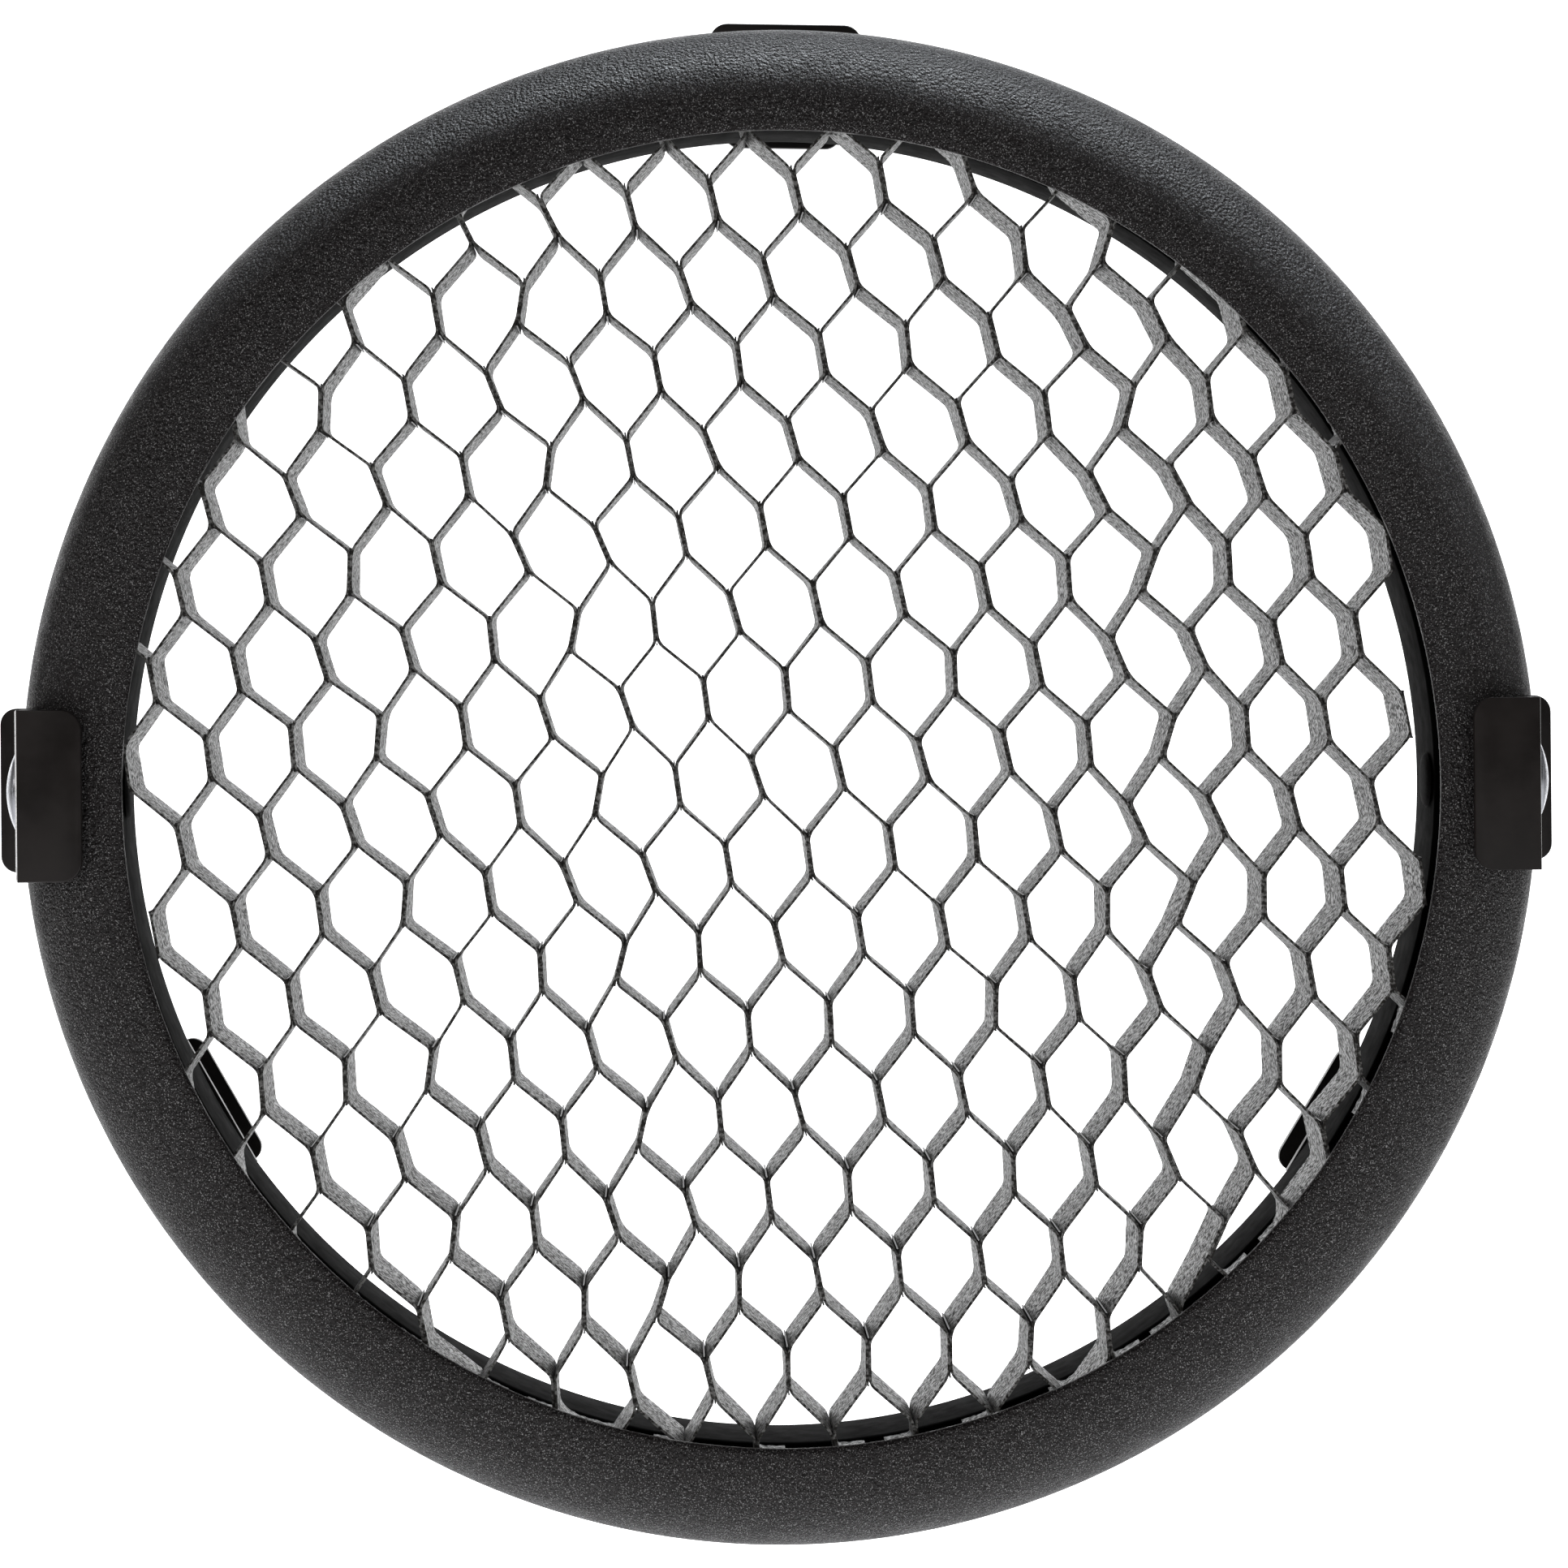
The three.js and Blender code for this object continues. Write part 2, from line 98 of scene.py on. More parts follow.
CORE_R = 75.3 * MM
FOIL_T = 0.29 * MM  # with its paint
FOIL_LAYERS = 8
FOIL_FILLET, FOIL_FILLET_STEPS = 0.75 * MM, 4
FLUTTER = 0.035 * MM  # how far a foil waves in and out
FLUTTER_HALF_TURNS = 3.1  # over the depth of a foil
FLUTTER_STEP, FLUTTER_PHASE = 0.9, 1.7  # radians from point to point and from foil to foil
END_LENGTH = 3.2 * MM  # of a foil's end that lies along the drum's wall
END_R = CORE_R + 0.15 * MM
END_STEPS = 3
SHORTEST = 6  # points of a foil's centre line; the CAD leaves out shorter scraps
BOND_STEP = 0.3 * MM  # between the middles of two bonded foils
GLUE_T = 0.06 * MM
GLUE_FILLET = 0.275 * MM  # past the ends of a bond
GLUE_FLARE = 3  # times as wide at the end of the fillet
GLUE_INSET = 0.02 * MM  # from the foils' front and rear edges
GLUE_R = CORE_R - 1 * MM

# the lattice of bonds between foils, drift and lean as in the CAD model, in mm and degrees
COLUMN_PITCH = 4.58
ROW_PITCH = 9.35
ROW_CLIMB = math.radians(5.7)
COLUMN_SLANT = math.radians(7.1)
LATTICE_X, LATTICE_Z = 2.0, 1.46
COLUMNS = 21
ROWS = 9
BOND_LENGTH = 4.85
BULGE, BULGE_R = 0.3, 42
TWIST = 0.0005
WAVE, WAVE_CREST_X, WAVE_LENGTH = 0.3, 32, 63
BOND_LEAN, ROW_LEAN = -9.5, -0.7
RIPPLE_LEAN, RIPPLE_ROW, RIPPLE_ROWS = -2.2, 3.5, 4
CREASES = ((-10, 15), (-5, 22), (-1, -8), (4, 7), (9, 29))
CREASE_SPREAD = -0.5

# camera
EYE_X, EYE_Z = -13.1 * MM, 13.2 * MM
EYE_DISTANCE = 490 * MM  # in front of the bezel
VIEW_WIDTH = 173.88 * MM  # at the front of the bezel
SHIFT_X, SHIFT_Y = 0.0776, -0.0717
ROLL = math.radians(-0.5)
SENSOR = 36  # mm
NEAR, FAR = 0.01, 20

# stage and light, in metres and watts
FLOOR_Z, FLOOR_REACH = -0.34, 3
BACKDROP_Y, BACKDROP_REACH, BACKDROP_TOP = 0.95, 0.75, 0.6
FLOOR_GLOW, BACKDROP_GLOW = 0.32, 1.3
WORLD_AS_LIGHT, WORLD_TO_CAMERA = 0.08, 0.62
WHITE, COOL, WARM = (1, 1, 1), (0.90, 0.95, 1.0), (1.0, 0.96, 0.94)
SOFT_BOXES = (  # name, place, size, power, colour
    ("top_box", (0.15, 0.3, 0.75), (0.45, 0.2), 5, COOL),
    ("left_box", (-0.9, -0.02, 0.1), (0.2, 0.6), 0.35, WHITE),
    ("right_box", (0.9, -0.02, 0.1), (0.2, 0.6), 0.35, WHITE),
    ("front_box", (-0.5, -1.2, 0.7), (0.12, 0.12), 1.0, WARM),
)


# ---------- mesh helpers ----------

def add(name, data):
    """A new object in the scene."""
    obj = bpy.data.objects.new(name, data)
    bpy.context.scene.collection.objects.link(obj)
    return obj


def add_piece(name, mesh, body, stands_for):
    """A new object that rides on a CAD body and replaces the CAD nodes it stands for."""
    obj = add(name, mesh)
    soften(mesh)
    if stands_for:
        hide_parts(*stands_for)
    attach(obj, body)
    return obj


def piece(name, verts, faces, material, body="ring", stands_for=()):
    """A piece made of the given vertices and faces."""
    mesh = bpy.data.meshes.new(name)
    mesh.from_pydata([tuple(v) for v in verts], [], faces)
    mesh.materials.append(material)
    return add_piece(name, mesh, body, stands_for)


def soften(mesh, sharp_degrees=35):
    """Smooth shading, with faces pointing out and edges sharper than the angle kept crisp."""
    bm = bmesh.new()
    bm.from_mesh(mesh)
    bmesh.ops.recalc_face_normals(bm, faces=bm.faces)
    for face in bm.faces:
        face.smooth = True
    for edge in bm.edges:
        edge.smooth = edge.is_manifold and edge.calc_face_angle(0) < math.radians(sharp_degrees)
    bm.to_mesh(mesh)
    bm.free()


def arc(centre_r, centre_y, radius_r, radius_y, start, stop, steps):
    """Points of an elliptical arc between two angles in degrees."""
    points = []
    for i in range(steps + 1):
        a = math.radians(start + (stop - start) * i / steps)
        points.append((centre_r + radius_r * math.cos(a), centre_y + radius_y * math.sin(a)))
    return points


def lathe_ring(profile, segments):
    """Vertices and faces of a closed (radius, y) profile turned about the Y axis."""
    verts, faces = [], []
    count = len(profile)
    for s in range(segments):
        a = 2 * math.pi * s / segments
        verts += [(r * math.cos(a), y, r * math.sin(a)) for r, y in profile]
        for i in range(count):
            j, t = (i + 1) % count, (s + 1) % segments
            faces.append((s * count + i, s * count + j, t * count + j, t * count + i))
    return verts, faces


def lathe_solid(profile, segments):
    """Vertices and faces of a (radius, height) profile turned about +Z, closed on the axis."""
    verts, faces = [(0, 0, profile[0][1])], []
    inner = profile[1:-1]
    count = len(inner)
    for s in range(segments):
        a = 2 * math.pi * s / segments
        verts += [(r * math.cos(a), r * math.sin(a), h) for r, h in inner]
    last = len(verts)
    verts.append((0, 0, profile[-1][1]))
    for s in range(segments):
        here, there = 1 + s * count, 1 + (s + 1) % segments * count
        faces.append((0, there, here))
        faces += [(here + i, there + i, there + i + 1, here + i + 1) for i in range(count - 1)]
        faces.append((here + count - 1, there + count - 1, last))
    return verts, faces


def corner_curve(before, here, after, radius, share, steps):
    """Points of a short curve that rounds a corner, within a share of the sides beside it."""
    back, on = before - here, after - here
    reach = min(radius, back.length * share, on.length * share)
    a, b = here + back.normalized() * reach, here + on.normalized() * reach
    return [(1 - t) ** 2 * a + 2 * t * (1 - t) * here + t ** 2 * b
            for t in (k / steps for k in range(steps + 1))]


def rounded(profile, radius, steps=3):
    """A closed profile whose corners are each rounded with steps + 1 points."""
    corners = [Vector(point) for point in profile]
    out = []
    for i, here in enumerate(corners):
        after = corners[(i + 1) % len(corners)]
        out += map(tuple, corner_curve(corners[i - 1], here, after, radius, share=0.45, steps=steps))
    return out


def round_over(bm, width, flat_degrees=0.6, sharp_degrees=40):
    """Rounds the sharp edges of a CAD mesh over, once its flat faces are joined."""
    bmesh.ops.remove_doubles(bm, verts=bm.verts, dist=1e-6)
    bmesh.ops.dissolve_limit(
        bm, angle_limit=math.radians(flat_degrees), verts=bm.verts, edges=bm.edges, delimit={"NORMAL"})
    sharp = math.radians(sharp_degrees)
    edges = [edge for edge in bm.edges if edge.is_manifold and edge.calc_face_angle(0) > sharp]
    bmesh.ops.bevel(
        bm, geom=edges, offset=width, segments=3, profile=0.5, affect="EDGES", clamp_overlap=True)


def on_front_bend(place, width):
    """Whether a point lies on the rounded bend between a clip's web and its jaw."""
    return abs(place.x) > CLIP_WEB_R - width and place.y < CLIP_LOW.y + width


def lean_front(bm, lean):
    """Moves a clip's front end sideways, and less and less of it back to the rivet."""
    for vert in bm.verts:
        vert.co.x += lean * min(0, vert.co.y - RIVET_HIGH.y) / (FRONT_Y - RIVET_HIGH.y)


def bevelled_copy(node, width, material, body, bend_highlight=None, lean=0.0):
    """The CAD node's own shape with its edges rounded over, in place of the node.

    A clip's front bend takes the painted highlight material, and its front end is moved sideways by the
    lean.
    """
    bm = bmesh.new()
    bm.from_mesh(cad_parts[node].data)
    round_over(bm, width)
    if bend_highlight:
        for face in bm.faces:
            face.material_index = int(on_front_bend(face.calc_center_median(), width))
    lean_front(bm, lean)
    mesh = bpy.data.meshes.new(node + "_fine")
    bm.to_mesh(mesh)
    bm.free()
    mesh.materials.append(material)
    if bend_highlight:
        mesh.materials.append(bend_highlight)
    add_piece(node + "_fine", mesh, body, [node])


# ---------- materials ----------

class Paint:
    """A procedural material that is built up node by node in object coordinates."""

    def __init__(self, name, roughness, metallic=0.0, specular=0.5):
        self.material = bpy.data.materials.new(name)
        self.material.use_nodes = True
        self.nodes = self.material.node_tree.nodes
        self.links = self.material.node_tree.links
        self.shader = self.nodes["Principled BSDF"]
        self.shader.inputs["Roughness"].default_value = roughness
        self.shader.inputs["Metallic"].default_value = metallic
        self.shader.inputs["Specular IOR Level"].default_value = specular
        self.place = self.nodes.new("ShaderNodeTexCoord").outputs["Object"]

    def noise(self, grain, detail=2.0, roughness=0.5):
        """Noise whose features are about grain metres across."""
        node = self.nodes.new("ShaderNodeTexNoise")
        node.inputs["Scale"].default_value = 1 / grain
        node.inputs["Detail"].default_value = detail
        node.inputs["Roughness"].default_value = roughness
        self.links.new(self.place, node.inputs["Vector"])
        return node.outputs["Fac"]

    def from_axis(self):
        """Distance from the Y axis."""
        split = self.nodes.new("ShaderNodeSeparateXYZ")
        self.links.new(self.place, split.inputs["Vector"])
        squares = [self.math("POWER", split.outputs[axis], 2.0) for axis in ("X", "Z")]
        return self.math("SQRT", self.math("ADD", *squares), 0.0)

    def within(self, reach):
        """1 where the point is nearer than this to the plane x = 0, and 0 beyond."""
        split = self.nodes.new("ShaderNodeSeparateXYZ")
        self.links.new(self.place, split.inputs["Vector"])
        distance = self.math("ABSOLUTE", split.outputs["X"], 0.0)
        return self.math("LESS_THAN", distance, reach)

    def cells(self, grain):
        """Distance to the middle of the nearest of many pebbles about grain metres across."""
        node = self.nodes.new("ShaderNodeTexVoronoi")
        node.feature = "SMOOTH_F1"
        node.inputs["Scale"].default_value = 1 / grain
        node.inputs["Smoothness"].default_value = 0.6
        self.links.new(self.place, node.inputs["Vector"])
        return node.outputs["Distance"]

    def ramp(self, value, *stops):
        """The value turned into a colour; stops are (position, grey or colour)."""
        node = self.nodes.new("ShaderNodeValToRGB")
        node.color_ramp.interpolation = "EASE"
        elements = node.color_ramp.elements
        while len(elements) < len(stops):
            elements.new(0.5)
        for element, (position, colour) in zip(elements, stops):
            if not isinstance(colour, tuple):
                colour = (colour, colour, colour)
            element.position = position
            element.color = (*colour, 1)
        self.links.new(value, node.inputs["Fac"])
        return node.outputs["Color"]

    def mix(self, factor, a, b):
        """a where the factor is 0 and b where it is 1; a is a socket and b a colour."""
        node = self.nodes.new("ShaderNodeMixRGB")
        self.links.new(factor, node.inputs["Fac"])
        self.links.new(a, node.inputs["Color1"])
        node.inputs["Color2"].default_value = (*b, 1)
        return node.outputs["Color"]

    def math(self, operation, a, b):
        """The result of an operation on two values, each a number or a socket."""
        node = self.nodes.new("ShaderNodeMath")
        node.operation = operation
        for socket, value in zip(node.inputs, (a, b)):
            if isinstance(value, (int, float)):
                socket.default_value = value
            else:
                self.links.new(value, socket)
        return node.outputs["Value"]

    def colour(self, value):
        self.links.new(value, self.shader.inputs["Base Color"])

    def roughness(self, value):
        self.links.new(value, self.shader.inputs["Roughness"])

    def glow(self, strength):
        """White light that the surface gives off."""
        self.shader.inputs["Emission Color"].default_value = (*WHITE, 1)
        self.shader.inputs["Emission Strength"].default_value = strength

    def bump(self, height, distance, strength=1.0):
        """Relief of the given depth in metres."""
        node = self.nodes.new("ShaderNodeBump")
        node.inputs["Strength"].default_value = strength
        node.inputs["Distance"].default_value = distance
        self.links.new(height, node.inputs["Height"])
        self.links.new(node.outputs["Normal"], self.shader.inputs["Normal"])


def crinkle_paint():
    """Black powder coat with a fine pebbled grain, painted glints of grey on its tips and a painted
    highlight on the lip's edge.
    """
    p = Paint("crinkle_paint", roughness=0.42, specular=0.5)
    pebble = p.cells(0.36 * MM)
    fine = p.noise(0.16 * MM, detail=3)
    height = p.math("SUBTRACT", p.math("MULTIPLY", fine, 0.8), pebble)
    ground = p.ramp(p.noise(0.6 * MM, detail=3, roughness=0.7),
                    (0.35, (0.012, 0.0092, 0.0090)), (0.7, (0.030, 0.0240, 0.0238)))
    # painted glints: pale grey specks in the colour stand in for light caught by the pebbles
    painted_glints = p.ramp(p.noise(0.15 * MM, detail=1), (0.60, 0.0), (0.68, 1.0))
    # painted highlight: a thin pale ring of colour along the lip's inner edge
    edge = p.math("LESS_THAN", p.from_axis(), LIP_R + LIP_HIGHLIGHT_REACH)
    grey = p.mix(painted_glints, ground, (0.50, 0.49, 0.49))
    p.colour(p.mix(edge, grey, (0.30, 0.29, 0.29)))
    p.roughness(p.ramp(p.noise(2.5 * MM), (0.3, 0.34), (0.7, 0.46)))
    p.bump(height, 0.3 * MM)
    return p.material


def matt_black():
    """Dull black paint on the drum, dusty in patches."""
    p = Paint("matt_black", roughness=0.9, specular=0.02)
    p.colour(p.ramp(p.noise(7 * MM, detail=4),
                    (0.3, (0.0055, 0.0052, 0.005)), (0.7, (0.0095, 0.009, 0.0086))))
    p.roughness(p.ramp(p.noise(2 * MM, detail=5, roughness=0.65), (0.3, 0.72), (0.75, 0.9)))
    p.bump(p.noise(0.5 * MM, detail=3), 0.04 * MM, 0.4)
    return p.material


def spring_black():
    """Smooth black enamel on spring steel, with faint orange peel and rubbed patches."""
    p = Paint("spring_black", roughness=0.4, specular=0.35)
    p.colour(p.ramp(p.noise(6 * MM, detail=4),
                    (0.3, (0.022, 0.0178, 0.0165)), (0.7, (0.036, 0.0295, 0.0275))))
    p.roughness(p.ramp(p.noise(3 * MM, detail=5, roughness=0.65), (0.3, 0.3), (0.75, 0.44)))
    p.bump(p.noise(0.9 * MM, detail=3), 0.03 * MM, 0.25)
    return p.material


def painted_bend_highlight():
    """Painted highlight along a clip's front bend, in a pale steel colour dull in specks, and a glow."""
    p = Paint("painted_bend_highlight", roughness=0.3, metallic=0.5)
    p.colour(p.ramp(p.noise(0.8 * MM, detail=3), (0.30, (0.35, 0.34, 0.34)), (0.45, (0.86, 0.85, 0.84))))
    # painted highlight: the bend glows though it is no lamp
    p.glow(0.4)
    p.roughness(p.ramp(p.noise(0.4 * MM, detail=3), (0.3, 0.24), (0.7, 0.4)))
    return p.material


def foil_paint():
    """Dark paint over aluminium foil, coarsely mottled in colour and gloss."""
    p = Paint("foil_paint", roughness=0.45, specular=0.7)
    speckle = p.noise(0.42 * MM, detail=2, roughness=0.6)
    cloud = p.noise(1.8 * MM, detail=2)
    mixed = p.math("ADD", p.math("MULTIPLY", speckle, 0.82), p.math("MULTIPLY", cloud, 0.18))
    p.colour(p.ramp(mixed, (0.42, (0.022, 0.019, 0.015)),
                    (0.50, (0.085, 0.082, 0.076)), (0.60, (0.30, 0.295, 0.285))))
    p.roughness(p.ramp(speckle, (0.42, 0.85), (0.54, 0.38)))
    p.bump(speckle, 0.10 * MM, 0.8)
    return p.material


def glue_film():
    """Dark adhesive between bonded foils."""
    p = Paint("glue_film", roughness=0.45)
    p.colour(p.ramp(p.noise(0.6 * MM), (0.35, (0.010, 0.009, 0.008)), (0.7, (0.035, 0.030, 0.026))))
    p.bump(p.noise(0.3 * MM), 0.03 * MM, 0.5)
    return p.material


def polished_steel():
    """Bright steel with faint tool marks; inside the drum it was painted black with the wall."""
    p = Paint("polished_steel", roughness=0.3, specular=0.1)
    steel = p.ramp(p.noise(1.5 * MM, detail=3), (0.3, (0.62, 0.63, 0.68)), (0.7, (0.74, 0.75, 0.80)))
    painted = p.within(DRUM_OUTER_R)
    p.colour(p.mix(painted, steel, (0.010, 0.009, 0.009)))
    p.links.new(p.math("SUBTRACT", 1.0, painted), p.shader.inputs["Metallic"])
    sheen = p.ramp(p.noise(0.4 * MM, detail=4), (0.3, 0.26), (0.75, 0.38))
    p.roughness(p.math("ADD", sheen, p.math("MULTIPLY", painted, 0.6)))
    p.bump(p.noise(0.25 * MM, detail=3), 0.01 * MM, 0.3)
    return p.material


def dark_steel():
    """Blackened steel of the small rivets and bushes."""
    p = Paint("dark_steel", roughness=0.4, metallic=0.9)
    p.colour(p.ramp(p.noise(1.2 * MM, detail=4), (0.3, (0.05, 0.05, 0.053)), (0.7, (0.12, 0.12, 0.125))))
    p.roughness(p.ramp(p.noise(0.5 * MM, detail=4), (0.3, 0.3), (0.75, 0.5)))
    p.bump(p.noise(0.35 * MM, detail=3), 0.015 * MM, 0.4)
    return p.material


CRINKLE = crinkle_paint()
MATT = matt_black()
SPRING = spring_black()
BEND_HIGHLIGHT = painted_bend_highlight()
FOIL = foil_paint()
GLUE = glue_film()
STEEL = polished_steel()
DARK = dark_steel()


# ---------- bezel and drum ----------

def bezel_profile():
    """(radius, y) points round the metal of the bezel: lip, front round, rear edge and hollow."""
    bead = SKIN / 2
    centre_r, centre_y = LIP_R + bead, FRONT_Y + FRONT_ROUND_DEPTH
    wall_r, start_y = BEZEL_R - SKIN, centre_y + SKIRT_START
    skirt = rounded([(BEZEL_R, start_y), (BEZEL_R, 0), (wall_r, 0), (wall_r, start_y)], SKIRT_ROUND)
    corner = len(skirt) // 4
    return [
        *arc(centre_r, FRONT_Y + bead, bead, bead, 90, 270, BEAD_STEPS),
        *arc(centre_r, centre_y, BEZEL_R - centre_r, FRONT_ROUND_DEPTH, -90, 0, ROUND_STEPS)[1:],
        *skirt[corner:3 * corner],
        *arc(HOLLOW_R, centre_y, wall_r - HOLLOW_R, FRONT_ROUND_DEPTH - SKIN, 0, -90, HOLLOW_STEPS),
    ]


def make_bezel():
    """The crinkle-painted rim, with a notch on each side that its clip stands in."""
    verts, faces = lathe_ring(bezel_profile(), RING_SEGMENTS)
    bezel = piece("bezel_fine", verts, faces, CRINKLE, stands_for=["bezel"])
    outer_r = BEZEL_R + OVERCUT
    width = CLIP_HIGH.z - CLIP_LOW.z + 2 * NOTCH_GAP
    for side in (-1, 1):
        centre = Vector((side * (NOTCH_FLOOR_R + outer_r) / 2, (NOTCH_FRONT_Y + OVERCUT) / 2, 0))
        cut_box(bezel, centre, Vector((outer_r - NOTCH_FLOOR_R, OVERCUT - NOTCH_FRONT_Y, width)))
    soften(bezel.data)


def cut_box(target, centre, size):
    """Cuts a box out of the target mesh."""
    bm = bmesh.new()
    bmesh.ops.create_cube(bm, size=1, matrix=Matrix.LocRotScale(centre, None, size))
    mesh = bpy.data.meshes.new("cutter")
    bm.to_mesh(mesh)
    bm.free()
    cutter = add("cutter", mesh)
    boolean = target.modifiers.new("cut", "BOOLEAN")
    boolean.operation = "DIFFERENCE"
    boolean.solver = "EXACT"
    boolean.object = cutter
    bpy.context.view_layer.update()
    evaluated = target.evaluated_get(bpy.context.evaluated_depsgraph_get())
    cut = bpy.data.meshes.new_from_object(evaluated)
    target.modifiers.clear()
    target.data = cut
    bpy.data.objects.remove(cutter)
    bpy.data.meshes.remove(mesh)


def make_drum():
    """The inner wall that holds the foils, bored wider at the front, with a flange at the rear."""
    ledge_y = DRUM_LOW.y + POCKET_DEPTH
    profile = rounded([
        (POCKET_R, DRUM_LOW.y), (DRUM_OUTER_R, DRUM_LOW.y), (DRUM_OUTER_R, -FLANGE_T),
        (DRUM_HIGH.z, -FLANGE_T), (DRUM_HIGH.z, 0), (DRUM_BORE_R, 0),
        (DRUM_BORE_R, ledge_y), (POCKET_R, ledge_y),
    ], DRUM_ROUND)
    verts, faces = lathe_ring(profile, RING_SEGMENTS)
    piece("drum_fine", verts, faces, MATT, stands_for=["drum"])


# ---------- honeycomb core ----------

def drift(x, z):
    """How far a bond has drifted from the even lattice, in x and in z."""
    bulge = BULGE * (1 - (x * x + z * z) / BULGE_R ** 2)
    wave = WAVE * math.cos(2 * math.pi * (x - WAVE_CREST_X) / WAVE_LENGTH)
    return bulge + TWIST * x * z + wave, bulge


def lean_of(column, row):
    """Lean of a bond from upright, in degrees, clockwise from the front."""
    ripple = RIPPLE_LEAN * math.cos(2 * math.pi * (row - RIPPLE_ROW) / RIPPLE_ROWS)
    turns = sum(turn * CREASE_SPREAD ** abs(column - crease) for crease, turn in CREASES)
    return BOND_LEAN + ROW_LEAN * row + ripple + turns


def bond(column, row):
    """Both ends of a bond, and the direction across it, in the plane of the grid."""
    along_row, along_column = COLUMN_PITCH * column, ROW_PITCH * row
    x = LATTICE_X + along_row * math.cos(ROW_CLIMB) - along_column * math.sin(COLUMN_SLANT)
    z = LATTICE_Z + along_row * math.sin(ROW_CLIMB) + along_column * math.cos(COLUMN_SLANT)
    dx, dz = drift(x, z)
    angle = math.radians(lean_of(column, row))
    along = Vector((math.sin(angle), math.cos(angle)))
    middle = Vector((x + dx, z + dz)) * MM
    reach = along * BOND_LENGTH * MM / 2
    return middle + reach, middle - reach, Vector((along.y, -along.x))


def ribbon_path(column):
    """The zigzag of one foil from top to bottom, bonded to its left and right neighbours in turn."""
    path = []
    for row in range(ROWS, -ROWS - 1, -1):
        on_left = abs(column + row) % 2 == 1
        top, bottom, across = bond(column if on_left else column + 1, row)
        offset = across * (1 if on_left else -1) * BOND_STEP / 2
        path += [top + offset, bottom + offset]
    return path


def crossing(a, b):
    """Where the line from a, inside the core's circle, to b, outside it, crosses it."""
    step = b - a
    half = a.dot(step) / step.length_squared
    rest = (a.length_squared - CORE_R ** 2) / step.length_squared
    return a + step * (math.sqrt(half * half - rest) - half)


def trimmed(path):
    """The longest unbroken run of the path inside the core's circle."""
    best, run = [], []
    for i, point in enumerate(path):
        inside = point.length < CORE_R
        if inside and not run and i:
            run.append(crossing(point, path[i - 1]))
        if inside:
            run.append(point)
        elif run:
            run.append(crossing(path[i - 1], point))
        if len(run) > len(best):
            best = run
        if not inside:
            run = []
    return best


def with_ends(path):
    """The path with both ends turned along the drum's wall, the way that bends them less."""
    return end_on_wall(path[0], path[1])[::-1] + path + end_on_wall(path[-1], path[-2])


def end_on_wall(end, inner):
    """Points that follow the wall on from the end of a path."""
    start = math.atan2(end.y, end.x)
    tangent = Vector((-end.y, end.x))
    way = 1 if (end - inner).dot(tangent) > 0 else -1
    points = []
    for step in range(1, END_STEPS + 1):
        a = start + way * END_LENGTH / CORE_R * step / END_STEPS
        points.append(Vector((math.cos(a), math.sin(a))) * END_R)
    return points


def filleted(path):
    """The path with its corners rounded, and its straights split so that they can flutter."""
    out = [path[0]]
    for before, here, after in zip(path, path[1:], path[2:]):
        curve = corner_curve(before, here, after, FOIL_FILLET, share=0.4, steps=FOIL_FILLET_STEPS)
        out += [(out[-1] + curve[0]) / 2, *curve]
    out.append(path[-1])
    return out


def normals_of(path):
    """The direction across the path at each of its points."""
    normals = []
    for i in range(len(path)):
        along = path[min(i + 1, len(path) - 1)] - path[max(i - 1, 0)]
        along.normalize()
        normals.append(Vector((-along.y, along.x)))
    return normals


def foil_verts(path, phase):
    """Points of both faces of a foil, layer by layer from front to rear."""
    verts = []
    normals = normals_of(path)
    for layer in range(FOIL_LAYERS + 1):
        t = layer / FOIL_LAYERS
        y = CORE_LOW.y + (CORE_HIGH.y - CORE_LOW.y) * t
        for side in (0.5, -0.5):
            for i, (p, n) in enumerate(zip(path, normals)):
                turn = FLUTTER_HALF_TURNS * t * math.pi + FLUTTER_STEP * i + phase
                q = p + n * (FOIL_T * side + FLUTTER * math.sin(turn))
                verts.append((q.x, y, q.y))
    return verts


def foil_faces(count):
    """Both faces of a foil of count points a layer, its two cut ends, and its front and rear edges."""
    faces = []
    row = 2 * count
    for layer in range(FOIL_LAYERS):
        for side in (0, 1):
            base = layer * row + side * count
            for a in range(base, base + count - 1):
                faces.append((a, a + 1, a + 1 + row, a + row))
        for a in (layer * row, layer * row + count - 1):
            faces.append((a, a + count, a + count + row, a + row))
    for base in (0, FOIL_LAYERS * row):
        for a in range(base, base + count - 1):
            faces.append((a, a + 1, a + count + 1, a + count))
    return faces


def make_core():
    """One foil for each CAD foil, in the same order."""
    number = 0
    for column in range(-COLUMNS, COLUMNS):
        path = trimmed(ribbon_path(column))
        if len(path) < SHORTEST:
            continue
        number += 1
        node = f"core_foil_{number:02d}"
        path = filleted(with_ends(path))
        verts = foil_verts(path, phase=number * FLUTTER_PHASE)
        faces = foil_faces(len(path))
        piece(node + "_fine", verts, faces, FOIL, stands_for=[node])


def glue_outline(top, bottom, across):
    """Points round the adhesive of one bond, which flares into the crotch at both ends."""
    half = across * GLUE_T / 2
    reach = (top - bottom).normalized() * GLUE_FILLET
    flare = half * GLUE_FLARE
    return [
        top + half, top + reach + flare, top + reach - flare, top - half,
        bottom - half, bottom - reach - flare, bottom - reach + flare, bottom + half,
    ]


def prism_faces(start, count):
    """Faces of a prism whose first outline of count points begins at vertex start."""
    faces = [tuple(range(start, start + count)), tuple(range(start + 2 * count - 1, start + count - 1, -1))]
    for i in range(count):
        j = (i + 1) % count
        faces.append((start + i, start + j, start + count + j, start + count + i))
    return faces


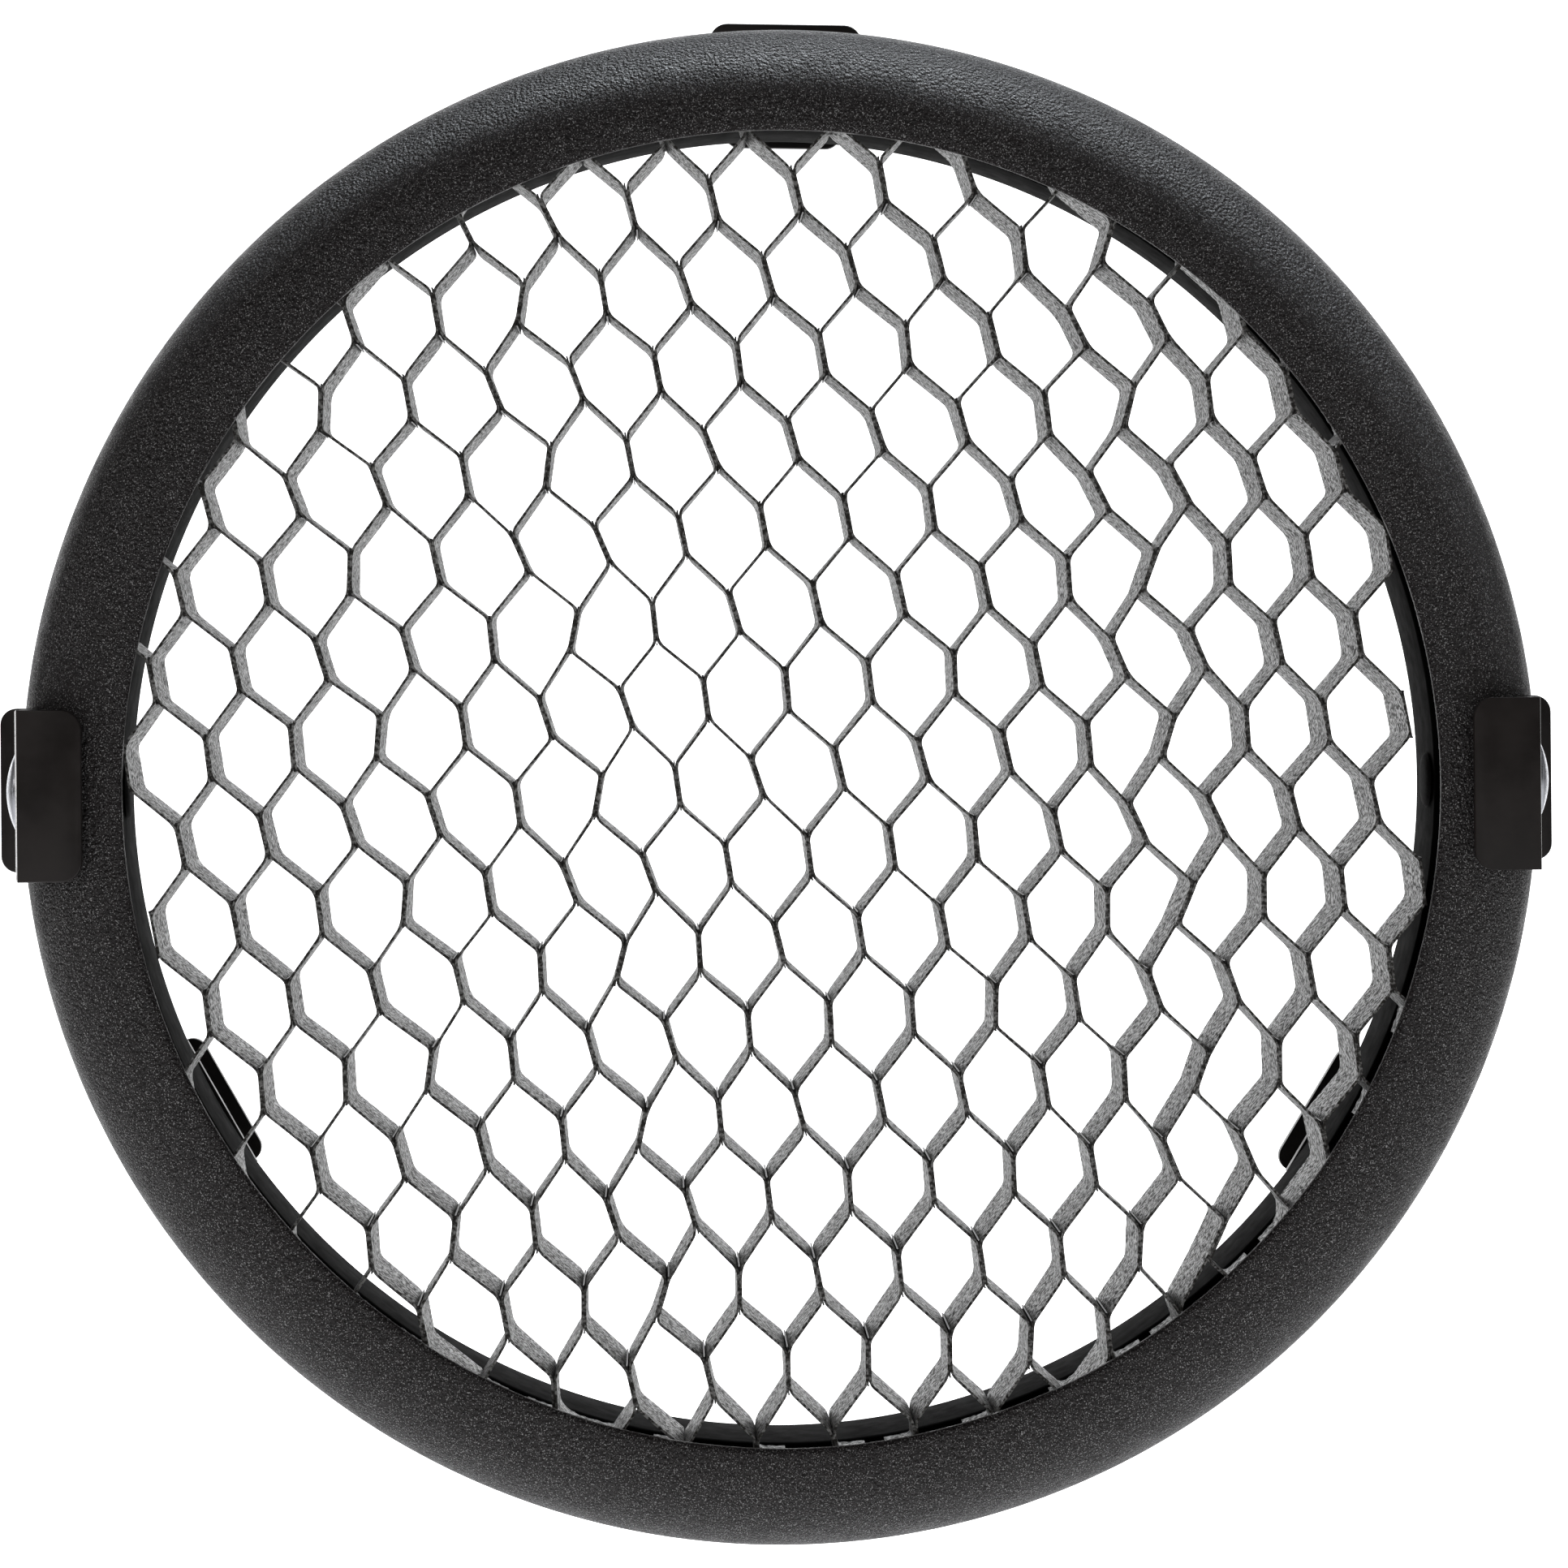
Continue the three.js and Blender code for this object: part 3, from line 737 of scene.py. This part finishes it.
def make_glue():
    """The adhesive between each pair of bonded foils."""
    verts, faces = [], []
    for column in range(-COLUMNS, COLUMNS + 1):
        for row in range(-ROWS, ROWS + 1):
            if abs(column + row) % 2 == 0:
                continue
            top, bottom, across = bond(column, row)
            if max(top.length, bottom.length) > GLUE_R:
                continue
            outline = glue_outline(top, bottom, across)
            faces += prism_faces(len(verts), len(outline))
            for y in (CORE_LOW.y + GLUE_INSET, CORE_HIGH.y - GLUE_INSET):
                verts += [(p.x, y, p.y) for p in outline]
    piece("core_glue", verts, faces, GLUE)


# ---------- clips, hooks and catch ----------

def radial(verts, side, y):
    """Turns verts from standing on +Z to pointing outwards at 3 or 9 o'clock, at the depth y."""
    return [(side * z, y + side * x, v) for x, v, z in verts]


def rivet_profile(tail, top, head_r):
    """(radius, height) points from the set tail inside the drum, up the shank and over the head."""
    head_foot = CLIP_WEB_R + HEAD_LIFT
    dome_angle = math.degrees(math.asin((head_r - HEAD_RIM_BEVEL) / DOME_R))
    dome = arc(0, top - DOME_R, DOME_R, DOME_R, 90 - dome_angle, 90, DOME_STEPS)
    return [
        (0, tail), *((TAIL_R * share, tail + height) for share, height in TAIL_CROWN),
        (TAIL_R, tail + TAIL_T), (SHANK_R, tail + TAIL_T),
        (SHANK_R, head_foot), (head_r - HEAD_FOOT_BEVEL, head_foot),
        (head_r, head_foot + HEAD_FOOT_BEVEL), (head_r, dome[0][1] - HEAD_RIM_BEVEL), *dome,
    ]


def make_clip_rivet(name, side):
    """The bright domed rivet that a clip rocks on."""
    profile = rivet_profile(RIVET_LOW.x, RIVET_HIGH.x, (RIVET_HIGH.z - RIVET_LOW.z) / 2)
    verts, faces = lathe_solid(profile, RIVET_SEGMENTS)
    outwards = radial(verts, side, (RIVET_LOW.y + RIVET_HIGH.y) / 2)
    piece(name + "_fine", outwards, faces, STEEL, stands_for=[name])


def make_bush(name, side):
    """The bush between the drum and a clip."""
    inner, outer = BUSH_BORE_R, (BUSH_HIGH.z - BUSH_LOW.z) / 2
    low, high = BUSH_LOW.x, BUSH_HIGH.x
    profile = rounded([(inner, low), (outer, low), (outer, high), (inner, high)], BUSH_ROUND)
    verts, faces = lathe_ring(profile, BUSH_SEGMENTS)
    standing = [(x, z, y) for x, y, z in verts]
    outwards = radial(standing, side, (BUSH_LOW.y + BUSH_HIGH.y) / 2)
    piece(name + "_fine", outwards, faces, DARK, stands_for=[name])


def make_side(name, side):
    """The clip of one side with its rivet and bush, and the hook and catch rail of that side."""
    make_clip_rivet("clip_rivet_" + name, side)
    make_bush("clip_bush_" + name, side)
    clip = "clip_" + name
    # the clip's front bend takes the painted highlight material
    bevelled_copy(clip, CLIP_BEVEL, SPRING, clip, bend_highlight=BEND_HIGHLIGHT, lean=JAW_LEAN)
    bevelled_copy("hook_" + name, HOOK_BEVEL, SPRING, "ring")
    bevelled_copy("catch_rail_" + name, CLIP_BEVEL, SPRING, "ring")


def make_small_rivets():
    """The rivets of the hooks and the catch's rails."""
    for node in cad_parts:
        if node.startswith(("hook_rivet", "catch_rivet")):
            bevelled_copy(node, SMALL_RIVET_BEVEL, DARK, "ring")


# ---------- camera, stage and light ----------

def make_camera():
    """From the front, square to the ring and a little up and left of its axis."""
    data = bpy.data.cameras.new("camera")
    data.sensor_width = SENSOR
    data.lens = SENSOR * EYE_DISTANCE / VIEW_WIDTH
    data.shift_x, data.shift_y = SHIFT_X, SHIFT_Y
    data.clip_start, data.clip_end = NEAR, FAR
    camera = add("camera", data)
    eye = Matrix.Translation((EYE_X, FRONT_Y - EYE_DISTANCE, EYE_Z))
    level = Matrix.Rotation(math.radians(90), 4, "X")
    camera.matrix_world = eye @ level @ Matrix.Rotation(ROLL, 4, "Z")
    bpy.context.scene.camera = camera


def sheet(name, corners, material):
    """A flat four-cornered sheet of floor or backdrop."""
    mesh = bpy.data.meshes.new(name)
    mesh.from_pydata(corners, [], [(0, 1, 2, 3)])
    mesh.materials.append(material)
    add(name, mesh)


def pale_matt(name, glow):
    """Pale paint or cloth, faintly mottled, that glows a little so that it stays pale."""
    p = Paint(name, roughness=0.9, specular=0.1)
    p.colour(p.ramp(p.noise(0.3), (0.3, 0.84), (0.7, 0.88)))
    p.glow(glow)
    return p.material


def make_stage():
    """A pale floor and a bright sheet that stands behind the grid."""
    signs = ((-1, -1), (1, -1), (1, 1), (-1, 1))
    sheet("floor", [(x * FLOOR_REACH, y * FLOOR_REACH, FLOOR_Z) for x, y in signs],
          pale_matt("floor_paint", FLOOR_GLOW))
    heights = {-1: FLOOR_Z, 1: BACKDROP_TOP}
    sheet("backdrop", [(x * BACKDROP_REACH, BACKDROP_Y, heights[z]) for x, z in signs],
          pale_matt("backdrop_cloth", BACKDROP_GLOW))


def soft_box(name, place, size, power, colour):
    """A rectangular light, unseen by the camera, that faces the middle of the grid's rear."""
    data = bpy.data.lights.new(name, "AREA")
    data.shape = "RECTANGLE"
    data.size, data.size_y = size
    data.energy = power
    data.color = colour
    light = add(name, data)
    light.visible_camera = False
    facing = (-Vector(place)).to_track_quat("-Z", "Y").to_matrix().to_4x4()
    light.matrix_world = Matrix.Translation(place) @ facing


def make_world():
    """Pale all round to the camera, and dim as a source of light, so that the black keeps its depth."""
    world = bpy.data.worlds.new("studio")
    world.use_nodes = True
    nodes, links = world.node_tree.nodes, world.node_tree.links
    background = nodes["Background"]
    background.inputs["Color"].default_value = (*WHITE, 1)
    strength = nodes.new("ShaderNodeMapRange")
    strength.inputs["To Min"].default_value = WORLD_AS_LIGHT
    strength.inputs["To Max"].default_value = WORLD_TO_CAMERA
    links.new(nodes.new("ShaderNodeLightPath").outputs["Is Camera Ray"], strength.inputs["Value"])
    links.new(strength.outputs["Result"], background.inputs["Strength"])
    bpy.context.scene.world = world


make_bezel()
make_drum()
make_core()
make_glue()
make_side("left", -1)
make_side("right", 1)
bevelled_copy("catch_slide", HOOK_BEVEL, SPRING, "catch")
make_small_rivets()

make_camera()
make_stage()
make_world()
for box in SOFT_BOXES:
    soft_box(*box)
bpy.context.scene.view_settings.view_transform = "Standard"
